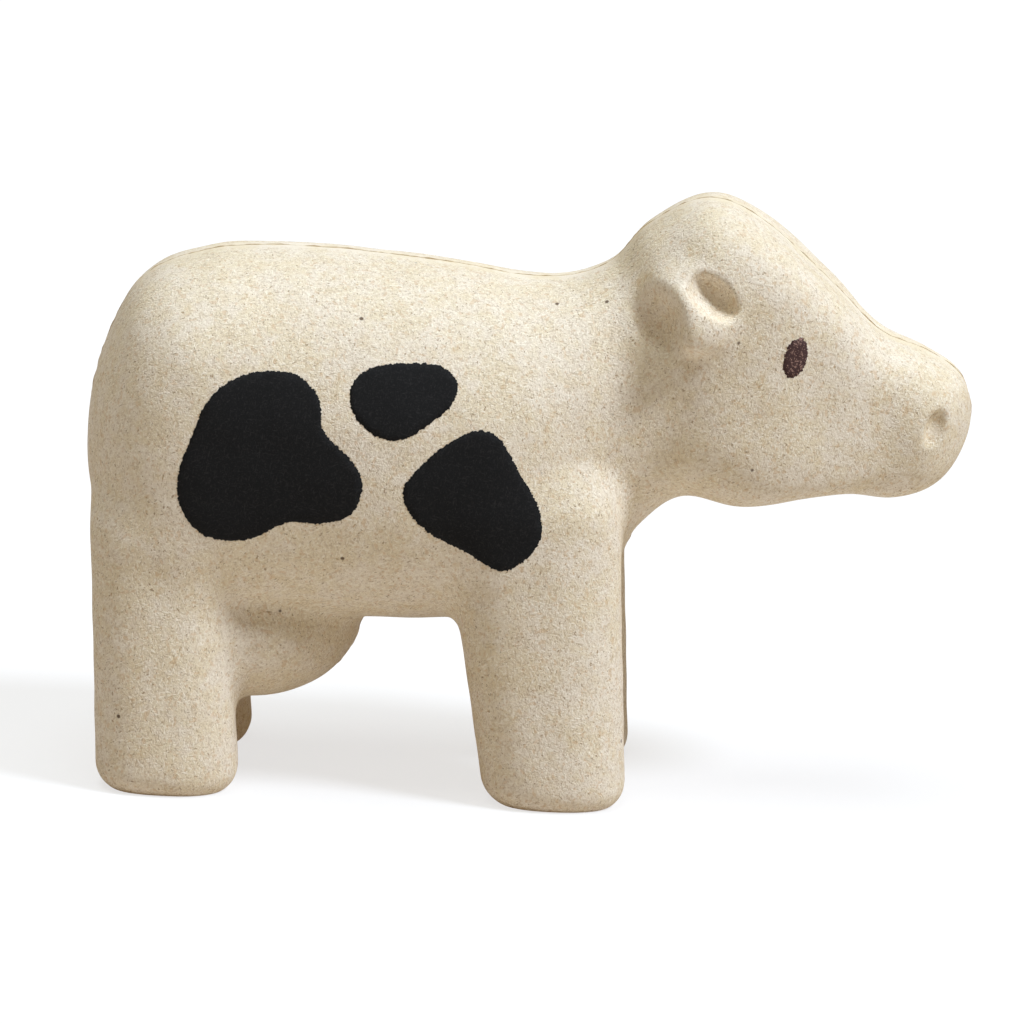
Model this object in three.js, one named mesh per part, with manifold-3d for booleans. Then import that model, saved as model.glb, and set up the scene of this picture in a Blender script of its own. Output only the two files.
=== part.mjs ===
// Toy cow of moulded wood fibre: two solid halves glued along the centre plane on two dowels,
// with three black patches and one brown eye printed on each side.
// Millimetres. X points to the nose, Y to the cow's left, Z up. The feet stand on z = 0.

import * as THREE from 'three';
import { mergeVertices } from 'three/addons/utils/BufferGeometryUtils.js';
import Module from 'manifold-3d';

// Outline of the trunk and head on the centre plane, from the rump over the back: [x, z].
const OUTLINE = {
  rump: [-49.8, 39.0],
  tail: [-48.4, 47.8],
  croup: [-44.1, 56.3],
  hip: [-36.7, 59.7],
  back: [-26.4, 60.5],
  loin: [-11.7, 59.6],
  withers: [2.6, 58.2],
  nape: [8.5, 60.1],
  pollBack: [12.7, 64.6],
  poll: [19.6, 67.9],
  brow: [25.8, 65.4],
  face: [33.7, 58.7],
  bridge: [39.3, 53.5],
  noseTop: [44.4, 51.5],
  noseFront: [48.6, 48.7],
  nose: [49.9, 44.6],
  lip: [48.5, 39.3],
  underLip: [45.5, 36.1],
  chin: [41.3, 35.0],
  chinNotch: [35.0, 35.7],
  jaw: [24.3, 33.7],
  throat: [17.6, 34.1],
  chest: [13.0, 30.3],
  breast: [10.4, 25.5],
  elbow: [4.0, 19.8],
  belly: [-9.3, 18.7],
  flank: [-22.0, 18.4],
  stifle: [-37.0, 18.4],
  hock: [-45.0, 21.5],
  thigh: [-48.6, 30.0],
};

// Cross sections along the trunk. halfWidth is the reach to each side, edge the depth over which
// the side rounds off towards the outline, fullness the power of that rounding: 2 is an ellipse.
const SECTIONS = {
  rump: { x: -52, halfWidth: 18.6, edge: 13, fullness: 2.4 },
  thigh: { x: -40, halfWidth: 18.9, edge: 15, fullness: 2.3 },
  hips: { x: -30, halfWidth: 19.0, edge: 19, fullness: 2.15 },
  barrel: { x: -10, halfWidth: 19.0, edge: 20, fullness: 2.1 },
  withers: { x: 0, halfWidth: 17.6, edge: 18.7, fullness: 2.1 },
  shoulder: { x: 6, halfWidth: 14.6, edge: 16, fullness: 2.15 },
  neck: { x: 10, halfWidth: 12.6, edge: 14, fullness: 2.2 },
  nape: { x: 14, halfWidth: 12.0, edge: 13, fullness: 2.6 },
  ears: { x: 20, halfWidth: 13.3, edge: 11.7, fullness: 2.8 },
  brow: { x: 27, halfWidth: 13.2, edge: 11.5, fullness: 4.2 },
  face: { x: 34, halfWidth: 11.4, edge: 10.6, fullness: 5.5 },
  bridge: { x: 40, halfWidth: 9.9, edge: 9.5, fullness: 3.4 },
  muzzle: { x: 46, halfWidth: 10.4, edge: 9.2, fullness: 2.6 },
  nose: { x: 52, halfWidth: 10.4, edge: 9, fullness: 2.3 },
};

// Legs are upright columns. Each has its middle and half length along X and its outer side along Y,
// at the ground and at LEG_JOINT above it, and a dome that sinks its top into the trunk.
const LEG_JOINT = 30;
const REAR_FOOT = { x: -39.15, half: 8.05, outer: 17.4 };
const REAR_JOINT = { x: -40.8, half: 7.65, outer: 16.6 };
const REAR_TOP = 37;
const REAR_DOME = 9;
const FRONT_FOOT = { x: 4.75, half: 7.95, outer: 17.4 };
const FRONT_JOINT = { x: 1.3, half: 9.75, outer: 17.2 };
const FRONT_TOP = 41.5;
const FRONT_DOME = 9;
const LEGS = {
  rear: { foot: REAR_FOOT, joint: REAR_JOINT, top: REAR_TOP, dome: REAR_DOME },
  front: { foot: FRONT_FOOT, joint: FRONT_JOINT, top: FRONT_TOP, dome: FRONT_DOME },
};
const LEG_INNER = 3.5;
const LEG_FULLNESS = 2.5;

// The foot is a rounded column end, sanded flat where it stands.
const FOOT_ROUND = 3.2;
const FOOT_SANDED = 0.5;

// Rounded masses: middle, radii, the turn in the side view in degrees, and the lean, which is how far
// the mass swings out to the side for each millimetre along and across its length.
const UDDER = { middle: [-31.3, 0, 17.6], radii: [12.8, 12.5, 9.2], turn: 0, lean: [0, 0] };
const EAR = { middle: [17.9, 11.6, 57.4], radii: [5.0, 3.9, 4.2], turn: 45, lean: [0.36, -0.3] };

// Hollows: the cup of the ear and the nostril.
const EAR_SCOOP = { middle: [20.1, 14.4, 59.4], radii: [3.8, 3.3, 2.1], turn: 40, lean: [0, 0] };
const NOSTRIL = { middle: [47.2, 11.0, 44.0], radii: [3.1, 2.5, 2.7], turn: -55, lean: [0.12, -0.85] };

// Reach of the soft fillets between the masses.
const UDDER_BLEND = 2.0;
const LEG_BLEND = 3.0;
const EAR_BLEND = 2.0;
const TRUNK_SOFTNESS = 3.0;

// Centre joint.
const GLUE_THICKNESS = 0.2;
const DOWEL_DIAMETER = 6;
const DOWEL_LENGTH = 20;
const DOWEL_SIDE_CLEARANCE = 0.1;
const DOWEL_END_CLEARANCE = 0.5;
const DOWELS = { dowel_rump: [-36, 42], dowel_shoulder: [2, 42] };

// Printed marks, as they lie in the side view: [x, z].
const PAINT_THICKNESS = 0.25;
const PAINT_GAP = 0.05;
const PATCHES = {
  patch_rear: [
    [-29.1, 49.5], [-25.3, 49.2], [-22.9, 47.1], [-22.0, 43.2], [-18.9, 40.2], [-17.6, 37.5],
    [-18.9, 34.0], [-22.0, 32.8], [-25.9, 32.7], [-30.3, 30.5], [-35.2, 30.9], [-37.9, 34.3],
    [-38.0, 38.2], [-36.7, 42.1], [-35.1, 46.0], [-32.7, 48.3],
  ],
  patch_saddle: [
    [-19.2, 48.4], [-17.5, 50.1], [-13.1, 50.8], [-9.3, 50.5], [-7.6, 49.0], [-8.0, 46.8],
    [-10.9, 44.2], [-13.6, 42.7], [-16.4, 43.1], [-19.0, 45.6],
  ],
  patch_shoulder: [
    [-5.0, 44.0], [-3.0, 43.3], [-0.3, 39.1], [2.2, 34.2], [1.8, 30.8], [-1.8, 27.9],
    [-5.5, 29.6], [-10.2, 32.2], [-12.5, 34.7], [-13.1, 37.2], [-10.4, 40.7], [-7.4, 43.0],
  ],
};
const EYE = { x: 29.65, z: 52.4, halfLength: 2.3, halfWidth: 1.25, turn: 78 };

// Fineness of the facets.
const CELL = 2;
const RASTER = 0.5;
const OUTLINE_STEPS = 240;
const PATCH_STEPS = 36;
const ROUND_STEPS = 24;
const SCOOP_RINGS = 10;
const SPARE_CELLS = 2;

const wasm = await Module();
wasm.setup();

const sections = Object.values(SECTIONS);

function valueAlong(key) {
  const stations = sections.map((section) => section.x);
  const values = sections.map((section) => section[key]);
  const curve = new THREE.CubicInterpolant(stations, values, 1);
  return (x) => curve.evaluate(x)[0];
}

const halfWidthAt = valueAlong('halfWidth');
const edgeAt = valueAlong('edge');
const fullnessAt = valueAlong('fullness');

// Closed smooth curve through points of the side view.
function smoothLoop(points, steps) {
  const stops = points.map(([x, z]) => new THREE.Vector3(x, 0, z));
  const curve = new THREE.CatmullRomCurve3(stops, true, 'centripetal');
  return curve.getPoints(steps).slice(0, steps).map((point) => new THREE.Vector2(point.x, point.z));
}

// Distance from a point to the nearest side of a loop, positive inside it.
function depthInLoop(loop, x, z) {
  let nearest = Infinity;
  let inside = false;
  for (let i = 0; i < loop.length; i += 1) {
    const a = loop[i];
    const b = loop[(i + 1) % loop.length];
    const runX = b.x - a.x;
    const runZ = b.y - a.y;
    const share = ((x - a.x) * runX + (z - a.y) * runZ) / (runX * runX + runZ * runZ);
    const along = THREE.MathUtils.clamp(share, 0, 1);
    nearest = Math.min(nearest, Math.hypot(x - a.x - along * runX, z - a.y - along * runZ));
    if (a.y > z !== b.y > z && x < a.x + ((z - a.y) / runZ) * runX) {
      inside = !inside;
    }
  }
  return inside ? nearest : -nearest;
}

// Depth inside the outline on a fine raster. Away from the edge the raster is smoothed,
// so that no ridge runs along the middle of the trunk.
function makeDepthMap(loop) {
  const box = new THREE.Box2().setFromPoints(loop).expandByScalar(2 * SPARE_CELLS * CELL);
  const columns = Math.ceil((box.max.x - box.min.x) / RASTER) + 1;
  const rows = Math.ceil((box.max.y - box.min.y) / RASTER) + 1;
  const exact = new Float64Array(columns * rows);
  for (let i = 0; i < columns; i += 1) {
    for (let k = 0; k < rows; k += 1) {
      exact[i * rows + k] = depthInLoop(loop, box.min.x + i * RASTER, box.min.y + k * RASTER);
    }
  }
  const smooth = Float64Array.from(exact);
  const passes = Math.round(2 * (TRUNK_SOFTNESS / RASTER) ** 2);
  for (let pass = 0; pass < passes; pass += 1) {
    for (const stride of [rows, 1]) {
      const before = Float64Array.from(smooth);
      for (let i = 1; i < columns - 1; i += 1) {
        for (let k = 1; k < rows - 1; k += 1) {
          const at = i * rows + k;
          smooth[at] = (before[at - stride] + 2 * before[at] + before[at + stride]) / 4;
        }
      }
    }
  }
  const mixed = exact.map((depth, at) => {
    const share = THREE.MathUtils.smoothstep(depth, 0, 2 * TRUNK_SOFTNESS);
    return THREE.MathUtils.lerp(depth, smooth[at], share);
  });
  return (x, z) => {
    const u = (x - box.min.x) / RASTER;
    const v = (z - box.min.y) / RASTER;
    const column = THREE.MathUtils.clamp(Math.floor(u), 0, columns - 2);
    const row = THREE.MathUtils.clamp(Math.floor(v), 0, rows - 2);
    const at = column * rows + row;
    const near = THREE.MathUtils.lerp(mixed[at], mixed[at + 1], v - row);
    const far = THREE.MathUtils.lerp(mixed[at + rows], mixed[at + rows + 1], v - row);
    return THREE.MathUtils.lerp(near, far, u - column);
  };
}

const trunkLoop = smoothLoop(Object.values(OUTLINE), OUTLINE_STEPS);
const trunkDepth = makeDepthMap(trunkLoop);

// Near distance to a rounded section with the given reaches and power.
function roundedSection(u, v, reachU, reachV, power) {
  const a = Math.abs(u / reachU) ** power;
  const b = Math.abs(v / reachV) ** power;
  const sum = a + b;
  const reach = sum > 0 ? (a * reachU + b * reachV) / sum : Math.min(reachU, reachV);
  return (sum ** (1 / power) - 1) * reach;
}

// Union of two distances with a fillet of the given reach.
function blend(a, b, reach) {
  const share = THREE.MathUtils.clamp(0.5 + (0.5 * (b - a)) / reach, 0, 1);
  return THREE.MathUtils.lerp(b, a, share) - reach * share * (1 - share);
}

// Near distance to an ellipsoid that is turned in the side view and leans out to the side.
function mass({ middle, radii, turn, lean }, x, y, z) {
  const angle = THREE.MathUtils.degToRad(turn);
  const offsetX = x - middle[0];
  const offsetZ = z - middle[2];
  const along = offsetX * Math.cos(angle) - offsetZ * Math.sin(angle);
  const across = offsetX * Math.sin(angle) + offsetZ * Math.cos(angle);
  const u = along / radii[0];
  const v = (y - middle[1] - lean[0] * along - lean[1] * across) / radii[1];
  const w = across / radii[2];
  const reach = Math.hypot(u, v, w);
  const slope = Math.hypot(u / radii[0], v / radii[1], w / radii[2]);
  return (reach * (reach - 1)) / Math.max(slope, Number.EPSILON);
}

function trunk(x, y, z) {
  const edge = edgeAt(x);
  const fromRim = Math.max(edge - trunkDepth(x, z), 0);
  return roundedSection(y, fromRim, halfWidthAt(x), edge, fullnessAt(x));
}

// How far a quarter round of the given radius has drawn in, reach of its height used up.
function quarterRound(radius, reach) {
  const used = THREE.MathUtils.clamp(reach, 0, radius);
  return radius - Math.sqrt(radius * radius - used * used);
}

function leg({ foot, joint, top, dome }, x, y, z) {
  const height = z / LEG_JOINT;
  const middleX = THREE.MathUtils.lerp(foot.x, joint.x, height);
  const halfLength = THREE.MathUtils.lerp(foot.half, joint.half, height);
  const outer = THREE.MathUtils.lerp(foot.outer, joint.outer, height);
  const roundBelow = quarterRound(FOOT_ROUND, FOOT_ROUND - FOOT_SANDED - z);
  const drawnIn = roundBelow + quarterRound(dome, z - top + dome);
  const least = FOOT_ROUND / 4;
  const reachX = Math.max(halfLength - drawnIn, least);
  const reachY = Math.max((outer - LEG_INNER) / 2 - drawnIn, least);
  const middleY = (outer + LEG_INNER) / 2;
  const side = roundedSection(x - middleX, y - middleY, reachX, reachY, LEG_FULLNESS);
  return Math.max(side, z - top);
}

// Signed distance of the whole cow, negative inside. The legs run on below the ground by the
// radius of the foot's round, to be cut off flat.
function cow(x, y, z) {
  const side = Math.abs(y);
  let distance = blend(trunk(x, side, z), mass(UDDER, x, side, z), UDDER_BLEND);
  const legs = Math.min(leg(LEGS.rear, x, side, z), leg(LEGS.front, x, side, z));
  distance = blend(distance, legs, LEG_BLEND);
  distance = blend(distance, mass(EAR, x, side, z), EAR_BLEND);
  return Math.max(distance, -FOOT_ROUND - z);
}

// Moves a point along the slope of a distance until it lies on the surface.
function settle(distance, point) {
  const step = CELL / 40;
  const rounds = 3;
  for (let round = 0; round < rounds; round += 1) {
    const { x, y, z } = point;
    const slope = new THREE.Vector3(
      distance(x + step, y, z) - distance(x - step, y, z),
      distance(x, y + step, z) - distance(x, y - step, z),
      distance(x, y, z + step) - distance(x, y, z - step),
    ).divideScalar(2 * step);
    point.addScaledVector(slope, -distance(x, y, z) / slope.lengthSq());
  }
  return point;
}

// Closed mesh of the surface where a distance is zero: one point in each cell that the surface
// crosses, and one quad around each edge of the lattice that it crosses.
function wrapSurface(distance, low, high) {
  const count = high.clone().sub(low).divideScalar(CELL).ceil().addScalar(1);
  const strides = [count.y * count.z, count.z, 1];
  const latticePoint = (i, j, k) => new THREE.Vector3(i, j, k).multiplyScalar(CELL).add(low);
  const values = new Float64Array(count.x * count.y * count.z);
  for (let i = 0; i < count.x; i += 1) {
    for (let j = 0; j < count.y; j += 1) {
      for (let k = 0; k < count.z; k += 1) {
        const { x, y, z } = latticePoint(i, j, k);
        values[i * strides[0] + j * strides[1] + k] = distance(x, y, z);
      }
    }
  }
  const positions = [];
  const pointOfCell = new Map();
  const corners = [0, 1, 2, 3, 4, 5, 6, 7].map((bits) => [(bits >> 2) & 1, (bits >> 1) & 1, bits & 1]);
  for (let i = 0; i < count.x - 1; i += 1) {
    for (let j = 0; j < count.y - 1; j += 1) {
      for (let k = 0; k < count.z - 1; k += 1) {
        const home = i * strides[0] + j * strides[1] + k;
        const crossings = [];
        for (const from of corners) {
          for (const axis of [0, 1, 2].filter((each) => from[each] === 0)) {
            const start = home + from[0] * strides[0] + from[1] * strides[1] + from[2];
            const first = values[start];
            const second = values[start + strides[axis]];
            if (first < 0 !== second < 0) {
              const crossing = latticePoint(i + from[0], j + from[1], k + from[2]);
              const reached = crossing.getComponent(axis) + (CELL * first) / (first - second);
              crossings.push(crossing.setComponent(axis, reached));
            }
          }
        }
        if (crossings.length > 0) {
          const middle = crossings.reduce((sum, each) => sum.add(each), new THREE.Vector3());
          const point = settle(distance, middle.divideScalar(crossings.length));
          pointOfCell.set(home, positions.length / 3);
          positions.push(point.x, point.y, point.z);
        }
      }
    }
  }
  const triangles = [];
  for (let at = 0; at < values.length; at += 1) {
    for (let axis = 0; axis < 3; axis += 1) {
      const next = at + strides[axis];
      if (next < values.length && values[at] < 0 !== values[next] < 0) {
        const back = strides[(axis + 1) % 3];
        const down = strides[(axis + 2) % 3];
        const ring = [at, at - back, at - back - down, at - down].map((home) => pointOfCell.get(home));
        const [a, b, c, d] = values[at] < 0 ? ring : ring.reverse();
        triangles.push(a, b, c, a, c, d);
      }
    }
  }
  const geometry = new THREE.BufferGeometry();
  geometry.setAttribute('position', new THREE.Float32BufferAttribute(positions, 3));
  geometry.setIndex(triangles);
  return geometry;
}

function toSolid(geometry) {
  const bare = geometry.clone();
  bare.deleteAttribute('normal');
  bare.deleteAttribute('uv');
  const merged = mergeVertices(bare);
  const vertProperties = Float32Array.from(merged.attributes.position.array);
  const triVerts = Uint32Array.from(merged.index.array);
  return new wasm.Manifold(new wasm.Mesh({ numProp: 3, vertProperties, triVerts }));
}

function toGeometry(solid) {
  const mesh = solid.getMesh();
  const geometry = new THREE.BufferGeometry();
  geometry.setAttribute('position', new THREE.BufferAttribute(Float32Array.from(mesh.vertProperties), 3));
  geometry.setIndex(new THREE.BufferAttribute(Uint32Array.from(mesh.triVerts), 1));
  geometry.computeVertexNormals();
  return geometry;
}

function boxBetween(low, high) {
  const size = high.clone().sub(low);
  const middle = high.clone().add(low).multiplyScalar(0.5);
  return toSolid(new THREE.BoxGeometry(size.x, size.y, size.z).translate(middle.x, middle.y, middle.z));
}

// Cylinder across the joint, centred on the centre plane.
function crossPin([x, z], diameter, length) {
  const pin = new THREE.CylinderGeometry(diameter / 2, diameter / 2, length, ROUND_STEPS);
  return pin.translate(x, 0, z);
}

// Ellipsoid that hollows the left side of the head.
function dimple({ middle, radii, turn, lean }) {
  const ball = new THREE.SphereGeometry(1, ROUND_STEPS, SCOOP_RINGS).scale(...radii);
  ball.applyMatrix4(new THREE.Matrix4().makeShear(lean[0], 0, 0, 0, 0, lean[1]));
  ball.rotateY(THREE.MathUtils.degToRad(turn));
  return toSolid(ball.translate(...middle));
}

const outlineBox = new THREE.Box2().setFromPoints(trunkLoop);
const feet = Object.values(LEGS).map((each) => each.foot.outer);
const widest = Math.max(...sections.map((section) => section.halfWidth), ...feet);
const room = SPARE_CELLS * CELL;
const beside = Math.ceil(widest / CELL) * CELL + room;
const below = Math.ceil(FOOT_ROUND / CELL) * CELL + room;
const low = new THREE.Vector3(outlineBox.min.x - room, -beside, -below);
const high = new THREE.Vector3(outlineBox.max.x + room, beside, outlineBox.max.y + room);
const skin = toSolid(wrapSurface(cow, low, high));

const halfGlue = GLUE_THICKNESS / 2;
const socketDiameter = DOWEL_DIAMETER + 2 * DOWEL_SIDE_CLEARANCE;
const socketLength = DOWEL_LENGTH + 2 * DOWEL_END_CLEARANCE;
const sockets = Object.values(DOWELS).map((place) => toSolid(crossPin(place, socketDiameter, socketLength)));

function makeHalf() {
  const leftSpace = boxBetween(new THREE.Vector3(low.x, halfGlue, 0), high);
  const hollows = [dimple(EAR_SCOOP), dimple(NOSTRIL), ...sockets];
  return hollows.reduce((half, hollow) => half.subtract(hollow), skin.intersect(leftSpace));
}

function makeGlue() {
  const gap = boxBetween(new THREE.Vector3(low.x, -halfGlue, 0), new THREE.Vector3(high.x, halfGlue, high.z));
  return sockets.reduce((layer, socket) => layer.subtract(socket), skin.intersect(gap));
}

// Thin coat of paint on the left side, inside a loop of the side view.
function makeCoat(loop) {
  const prism = new THREE.ExtrudeGeometry(new THREE.Shape(loop), { depth: high.y, bevelEnabled: false });
  const stencil = toSolid(prism.rotateX(Math.PI / 2).translate(0, high.y, 0));
  const inner = skin.translate([0, PAINT_GAP, 0]);
  const outer = skin.translate([0, PAINT_GAP + PAINT_THICKNESS, 0]);
  return stencil.intersect(outer).subtract(inner);
}

function eyeLoop() {
  const turn = THREE.MathUtils.degToRad(EYE.turn);
  const { x, z, halfLength, halfWidth } = EYE;
  const ring = new THREE.EllipseCurve(x, z, halfLength, halfWidth, 0, 2 * Math.PI, false, turn);
  return ring.getPoints(ROUND_STEPS).slice(0, ROUND_STEPS);
}

// The same piece on the cow's right side.
function mirrored(geometry) {
  const copy = geometry.clone().scale(1, -1, 1);
  const { array } = copy.index;
  for (let corner = 0; corner < array.length; corner += 3) {
    [array[corner + 1], array[corner + 2]] = [array[corner + 2], array[corner + 1]];
  }
  copy.computeVertexNormals();
  return copy;
}

const FINISHES = {
  fibre: { color: 0xdfd1ba, roughness: 0.85, metalness: 0 },
  glue: { color: 0xb08d5f, roughness: 0.6, metalness: 0 },
  dowel: { color: 0xd3b488, roughness: 0.75, metalness: 0 },
  black_paint: { color: 0x222222, roughness: 0.8, metalness: 0 },
  brown_paint: { color: 0x5b4640, roughness: 0.75, metalness: 0 },
};

const group = new THREE.Group();

function place(name, geometry, finish) {
  const mesh = new THREE.Mesh(geometry, new THREE.MeshStandardMaterial(FINISHES[finish]));
  mesh.name = name;
  group.add(mesh);
}

function placePair(name, solid, finish) {
  const geometry = toGeometry(solid);
  place(`${name}_left`, geometry, finish);
  place(`${name}_right`, mirrored(geometry), finish);
}

placePair('body_half', makeHalf(), 'fibre');
place('centre_glue_line', toGeometry(makeGlue()), 'glue');
for (const [name, where] of Object.entries(DOWELS)) {
  place(name, crossPin(where, DOWEL_DIAMETER, DOWEL_LENGTH), 'dowel');
}
for (const [name, points] of Object.entries(PATCHES)) {
  placePair(name, makeCoat(smoothLoop(points, PATCH_STEPS)), 'black_paint');
}
placePair('eye', makeCoat(eyeLoop()), 'brown_paint');

export default group;
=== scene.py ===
# %% [markdown]
# # A toy cow of moulded wood fibre
# The cow is pressed from coarse wood fibre in a left and a right half. The halves are glued on
# two dowels, and three black patches and an eye are printed on each side. The CAD frame holds
# every one of those pieces in place. This script makes their finished surfaces around it, piece
# by piece, then gives them their materials, a floor, two lamps and a camera. Sizes of the toy are
# written in millimetres, and a mesh is scaled to Blender's metres when it is made.

# %% Load the frame
import math

import bmesh
import bpy
import numpy as np
from mathutils import Matrix, Vector, geometry, noise


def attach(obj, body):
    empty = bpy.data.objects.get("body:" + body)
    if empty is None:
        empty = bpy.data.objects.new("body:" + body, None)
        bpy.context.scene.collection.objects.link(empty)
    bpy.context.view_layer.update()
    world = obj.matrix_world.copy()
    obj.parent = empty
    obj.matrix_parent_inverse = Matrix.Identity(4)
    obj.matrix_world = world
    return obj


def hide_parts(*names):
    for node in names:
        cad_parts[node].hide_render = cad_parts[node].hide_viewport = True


MM = 0.001
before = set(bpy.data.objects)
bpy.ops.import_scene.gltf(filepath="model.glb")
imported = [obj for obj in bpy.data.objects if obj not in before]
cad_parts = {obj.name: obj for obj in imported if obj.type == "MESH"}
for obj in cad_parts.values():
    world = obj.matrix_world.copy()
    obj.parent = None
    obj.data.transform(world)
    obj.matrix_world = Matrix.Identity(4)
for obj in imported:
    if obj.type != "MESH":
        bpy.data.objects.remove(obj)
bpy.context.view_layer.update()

# %% [markdown]
# ## The side view
# A toy like this begins as a drawing of a cow from the side, and so does this script. The outline
# runs from the rump over the back to the nose and returns below. A Catmull-Rom curve passes through
# every point, so a learner can move a point and see the outline follow. Bezier handles would do
# the same by hand, at the cost of two more numbers for each point.

# %% Outline of the trunk and head
OUTLINE = [
    (-49.8, 39.0), (-48.4, 47.8), (-44.1, 56.3), (-36.7, 59.7), (-26.4, 60.5), (-11.7, 59.6),
    (2.6, 58.2), (8.5, 60.1), (12.7, 64.6), (19.6, 67.9), (25.8, 65.4), (33.7, 58.7),
    (39.3, 53.5), (44.4, 51.5), (48.6, 48.7), (49.9, 44.6), (48.5, 39.3), (45.5, 36.1),
    (41.3, 35.0), (35.0, 35.7), (24.3, 33.7), (17.6, 34.1), (13.0, 30.3), (10.4, 25.5),
    (4.0, 19.8), (-9.3, 18.7), (-22.0, 18.4), (-37.0, 18.4), (-45.0, 21.5), (-48.6, 30.0),
]
OUTLINE_SPACING = 0.8


def hermite(start, leave, end, arrive, share):
    """Cubic from start to end that leaves and arrives with the given slopes."""
    square = share * share
    cube = square * share
    pulled = (cube - 2 * square + share) * leave + (cube - square) * arrive
    return start + (3 * square - 2 * cube) * (end - start) + pulled


def smooth_loop(points, spacing):
    """Closed centripetal Catmull-Rom curve through points of the side view."""
    knots = np.array(points, float)
    stretches = []
    for i in range(len(knots)):
        before, start, end, after = (knots[(i + k) % len(knots)] for k in (-1, 0, 1, 2))
        past = math.sqrt(math.dist(before, start))
        here = math.sqrt(math.dist(start, end))
        ahead = math.sqrt(math.dist(end, after))
        straight = (end - start) / here
        leave = here * ((start - before) / past - (end - before) / (past + here) + straight)
        arrive = here * (straight - (after - start) / (here + ahead) + (after - end) / ahead)
        count = max(round(math.dist(start, end) / spacing), 1)
        share = np.arange(count)[:, None] / count
        stretches.append(hermite(start, leave, end, arrive, share))
    return np.concatenate(stretches)


trunk_loop = smooth_loop(OUTLINE, OUTLINE_SPACING)
print("Outline of", len(trunk_loop), "points, in mm:", np.round(np.ptp(trunk_loop, axis=0), 1))

# %% [markdown]
# ## How deep a point lies in the outline
# A body with round sides is thickest far from its outline. So the first thing to know about a spot
# of the side view is its distance from the nearest side of the outline, positive inside. A spot is
# inside when a level ray from it crosses the outline an odd number of times.

# %% Depth inside a loop


def depth_in_loop(loop, x, z):
    """Distance to the nearest side of a loop, positive inside it."""
    nearest = np.full(np.broadcast(x, z).shape, np.inf)
    inside = np.zeros(nearest.shape, bool)
    for a, b in zip(loop, np.roll(loop, -1, axis=0)):
        run = b - a
        share = np.clip(((x - a[0]) * run[0] + (z - a[1]) * run[1]) / (run @ run), 0, 1)
        nearest = np.minimum(nearest, np.hypot(x - a[0] - share * run[0], z - a[1] - share * run[1]))
        crossed = (a[1] > z) != (b[1] > z)
        side = (x - a[0]) * run[1] - (z - a[1]) * run[0]
        inside ^= crossed & (side * run[1] < 0)
    return np.where(inside, nearest, -nearest)


outline_middle = trunk_loop.mean(axis=0)
middle_depth = depth_in_loop(trunk_loop, *outline_middle)
print("Depth at", np.round(outline_middle, 1), "in mm:", np.round(middle_depth, 1))

# %% [markdown]
# ## A raster of depths
# The body asks for the depth at millions of spots, so it is measured once on a raster and read
# between the raster's spots from then on. The middle of the raster is blurred, because the plain
# depth has a crease along its middle line, like the ridge of a roof.

# %% Raster of depths
RASTER = 0.4
RASTER_LOW = np.array([-56.0, -8.0])
RASTER_HIGH = np.array([56.0, 74.0])
TRUNK_SOFTNESS = 3.0


def smooth_step(value, low, high):
    """0 below low, 1 above high and a soft passage between."""
    share = np.clip((value - low) / (high - low), 0, 1)
    return share * share * (3 - 2 * share)


def make_depth_raster(loop):
    """Depths in a loop, with the crease of its middle line blurred away."""
    columns, rows = (np.arange(low, high, RASTER) for low, high in zip(RASTER_LOW, RASTER_HIGH))
    exact = depth_in_loop(loop, columns[:, None], rows[None, :])
    blurred = exact.copy()
    for _ in range(round(2 * (TRUNK_SOFTNESS / RASTER) ** 2)):
        blurred[1:-1] = (blurred[:-2] + 2 * blurred[1:-1] + blurred[2:]) / 4
        blurred[:, 1:-1] = (blurred[:, :-2] + 2 * blurred[:, 1:-1] + blurred[:, 2:]) / 4
    return exact + (blurred - exact) * smooth_step(exact, 0, 2 * TRUNK_SOFTNESS)


def depth_at(x, z):
    """Depth at any spot, between the four nearest spots of the raster."""
    u, v = np.broadcast_arrays((x - RASTER_LOW[0]) / RASTER, (z - RASTER_LOW[1]) / RASTER)
    i = np.clip(u.astype(int), 0, depth_raster.shape[0] - 2)
    k = np.clip(v.astype(int), 0, depth_raster.shape[1] - 2)
    near = depth_raster[i, k] + (depth_raster[i, k + 1] - depth_raster[i, k]) * (v - k)
    far = depth_raster[i + 1, k] + (depth_raster[i + 1, k + 1] - depth_raster[i + 1, k]) * (v - k)
    return near + (far - near) * (u - i)


depth_raster = make_depth_raster(trunk_loop)
print("Depth raster", depth_raster.shape, "with", round(depth_raster.max(), 1), "mm at its deepest")

# %% [markdown]
# ## The trunk as a distance
# Hands would carve this shape by rounding masses into each other, and Blender's sculpt brushes
# do that too. Here each mass is a formula that gives the distance to its surface, negative inside.
# The trunk and head come first. Cross sections say how wide they are along their length, how far
# in from the outline the rounding reaches, and how full it is.

# %% Cross sections of the trunk
SECTIONS = np.array([
    # x, half width, depth of the rounded edge, fullness (2 is an ellipse)
    (-52, 18.6, 13, 2.4), (-40, 18.9, 15, 2.3), (-30, 19.0, 19, 2.15), (-10, 19.0, 20, 2.1),
    (0, 17.6, 18.7, 2.1), (6, 14.6, 16, 2.15), (10, 12.6, 14, 2.2), (14, 12.0, 13, 2.6),
    (20, 13.3, 11.7, 2.8), (27, 13.2, 11.5, 4.2), (34, 11.4, 10.6, 5.5), (40, 9.9, 9.5, 3.4),
    (46, 10.4, 9.2, 2.6), (52, 10.4, 9, 2.3),
])
STATIONS, HALF_WIDTHS, EDGES, FULLNESSES = SECTIONS.T


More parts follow.
